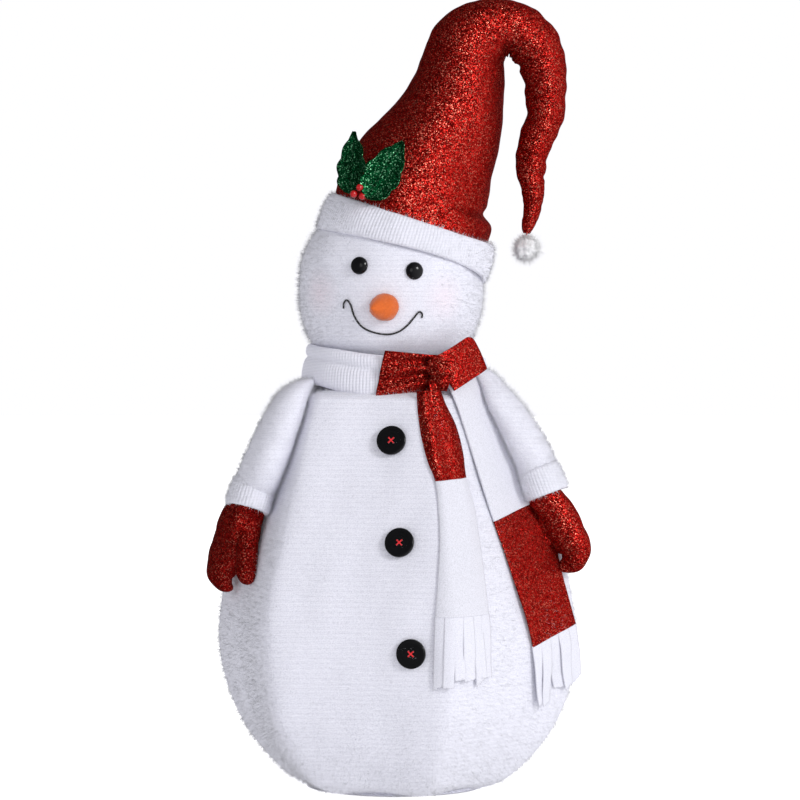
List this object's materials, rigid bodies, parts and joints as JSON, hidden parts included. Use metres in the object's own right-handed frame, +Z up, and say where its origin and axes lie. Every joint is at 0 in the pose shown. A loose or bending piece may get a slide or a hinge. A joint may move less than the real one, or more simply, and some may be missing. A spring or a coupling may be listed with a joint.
{
  "type": "fabric yard snowman",
  "caption": "Free-standing fabric snowman decoration on a folding wire frame, with a stuffed head, droopy hat, scarf with fringed tails, arms and mittens.",
  "frame": {"origin": "centre of the base on the floor, on the pole's axis", "axes": "-Y is the front, where the face and buttons are; +Z is up; +X is to the right of a viewer who faces the figure"},
  "size_m": [0.5805, 0.566, 1.1995],
  "materials": {
    "tinsel_knit": "shaggy",
    "rib_knit": "knitted",
    "fringe_felt": "soft",
    "red_glitter": "glitter",
    "green_glitter": "glitter",
    "orange_felt": "felt",
    "filling": "soft",
    "foam": "foam",
    "white_wire": "gloss",
    "white_steel": "satin",
    "zinc": "satin",
    "nylon": "matte",
    "black_plastic": "gloss",
    "berry_plastic": "gloss",
    "black_cord": "braided",
    "red_thread": "matte",
    "pompom_fluff": "fluffy"
  },
  "bodies": {
    "stand": {"base_plate": "white_steel", "pole_socket": "white_steel", "socket_screws": "zinc", "lower_pole": "white_steel", "lower_collar": "nylon", "upper_collar": "nylon", "hoop_washers": "nylon", "outer_hoop": "white_wire", "body_cover": "tinsel_knit", "neck_block": "foam", "scarf_neck_white": "rib_knit", "scarf_neck_red": "red_glitter", "scarf_knot": "red_glitter", "scarf_flap": "red_glitter"},
    "middle_hoop": {"middle_hoop": "white_wire"},
    "inner_hoop": {"inner_hoop": "white_wire"},
    "top_button": {"top_button": "black_plastic", "top_button_thread": "red_thread"},
    "middle_button": {"middle_button": "black_plastic", "middle_button_thread": "red_thread"},
    "bottom_button": {"bottom_button": "black_plastic", "bottom_button_thread": "red_thread"},
    "upper_pole": {"upper_pole": "white_steel", "head_rest": "nylon"},
    "head": {"head_socket": "nylon", "head_form": "foam", "head_cover": "tinsel_knit", "left_eye": "black_plastic", "right_eye": "black_plastic", "eye_washers": "nylon", "nose": "orange_felt", "mouth_cord": "black_cord"},
    "hat": {"hat_shell": "red_glitter", "hat_band": "rib_knit", "hat_filling": "filling", "hat_wire": "zinc", "left_holly_leaf": "green_glitter", "right_holly_leaf": "green_glitter", "holly_berries": "berry_plastic"},
    "hat_tail": {"tail_shell": "red_glitter", "tail_filling": "filling", "tail_wire": "zinc"},
    "pompom": {"pompom": "pompom_fluff", "pompom_thread": "red_thread"},
    "left_arm": {"left_sleeve": "tinsel_knit", "left_arm_filling": "filling", "left_cuff": "rib_knit", "left_mitten": "red_glitter", "left_mitten_filling": "filling"},
    "right_arm": {"right_sleeve": "tinsel_knit", "right_arm_filling": "filling", "right_cuff": "rib_knit", "right_mitten": "red_glitter", "right_mitten_filling": "filling"},
    "scarf_centre_tail": {"centre_tail_red": "red_glitter", "centre_tail_white": "rib_knit", "centre_tail_fringe": "fringe_felt"},
    "scarf_side_tail": {"side_tail_white": "rib_knit", "side_tail_red": "red_glitter", "side_tail_fringe": "fringe_felt"}
  },
  "joints": [
    {"name": "frame_fold", "type": "hinge", "parent": "stand", "child": "middle_hoop", "pos_m": [0, 0, 0.3], "axis": [0, 0, 1], "range_deg": [0, 60], "deforming": ["body_cover", "left_sleeve", "left_arm_filling", "left_cuff", "left_mitten", "left_mitten_filling", "centre_tail_red", "centre_tail_white", "centre_tail_fringe", "side_tail_white", "side_tail_red", "side_tail_fringe"]},
    {"name": "inner_hoop_fold", "type": "hinge", "parent": "stand", "child": "inner_hoop", "pos_m": [0, 0, 0.3], "axis": [0, 0, 1], "range_deg": [-60, 0]},
    {"name": "top_button_travel", "type": "slide", "parent": "stand", "child": "top_button", "axis": [0.225, 0.9744, 0], "range_m": [0, 0.12995]},
    {"name": "middle_button_travel", "type": "slide", "parent": "stand", "child": "middle_button", "axis": [0.225, 0.9744, 0], "range_m": [0, 0.16363]},
    {"name": "bottom_button_travel", "type": "slide", "parent": "stand", "child": "bottom_button", "axis": [0.225, 0.9744, 0], "range_m": [0, 0.18613]},
    {"name": "head_lift", "type": "slide", "parent": "stand", "child": "upper_pole", "axis": [0, 0, 1], "range_m": [0, 0.1]},
    {"name": "head_turn", "type": "hinge", "parent": "upper_pole", "child": "head", "pos_m": [0, 0, 0.7], "axis": [0, 0, 1], "range_deg": [-30, 30]},
    {"name": "hat_lift", "type": "slide", "parent": "head", "child": "hat", "axis": [0.309, 0, 0.9511], "range_m": [0, 0.18]},
    {"name": "hat_tail_bend", "type": "hinge", "parent": "hat", "child": "hat_tail", "pos_m": [0.19, 0, 1.149], "axis": [0, -1, 0], "range_deg": [-3, 35]},
    {"name": "pompom_swing", "type": "hinge", "parent": "hat_tail", "child": "pompom", "pos_m": [0.199, 0, 0.853], "axis": [0, 1, 0], "range_deg": [-35, 35]},
    {"name": "left_arm_swing", "type": "hinge", "parent": "stand", "child": "left_arm", "pos_m": [-0.155, -0.047, 0.604], "axis": [0, 1, 0], "range_deg": [0, 50]},
    {"name": "right_arm_swing", "type": "hinge", "parent": "stand", "child": "right_arm", "pos_m": [0.16, -0.062, 0.604], "axis": [0, -1, 0], "range_deg": [0, 50]},
    {"name": "centre_tail_swing", "type": "hinge", "parent": "stand", "child": "scarf_centre_tail", "pos_m": [0.0525, -0.172, 0.612], "axis": [-0.9563, -0.2924, 0], "range_deg": [0, 40]},
    {"name": "side_tail_swing", "type": "hinge", "parent": "stand", "child": "scarf_side_tail", "pos_m": [0.115, -0.115, 0.612], "axis": [-1, 0, 0], "range_deg": [0, 40]}
  ],
  "couplings": [
    {"joint": "inner_hoop_fold", "follows": "frame_fold", "ratio": -1},
    {"joint": "top_button_travel", "follows": "frame_fold", "m_per_rad": 0.1239},
    {"joint": "middle_button_travel", "follows": "frame_fold", "m_per_rad": 0.15606},
    {"joint": "bottom_button_travel", "follows": "frame_fold", "m_per_rad": 0.17755}
  ]
}
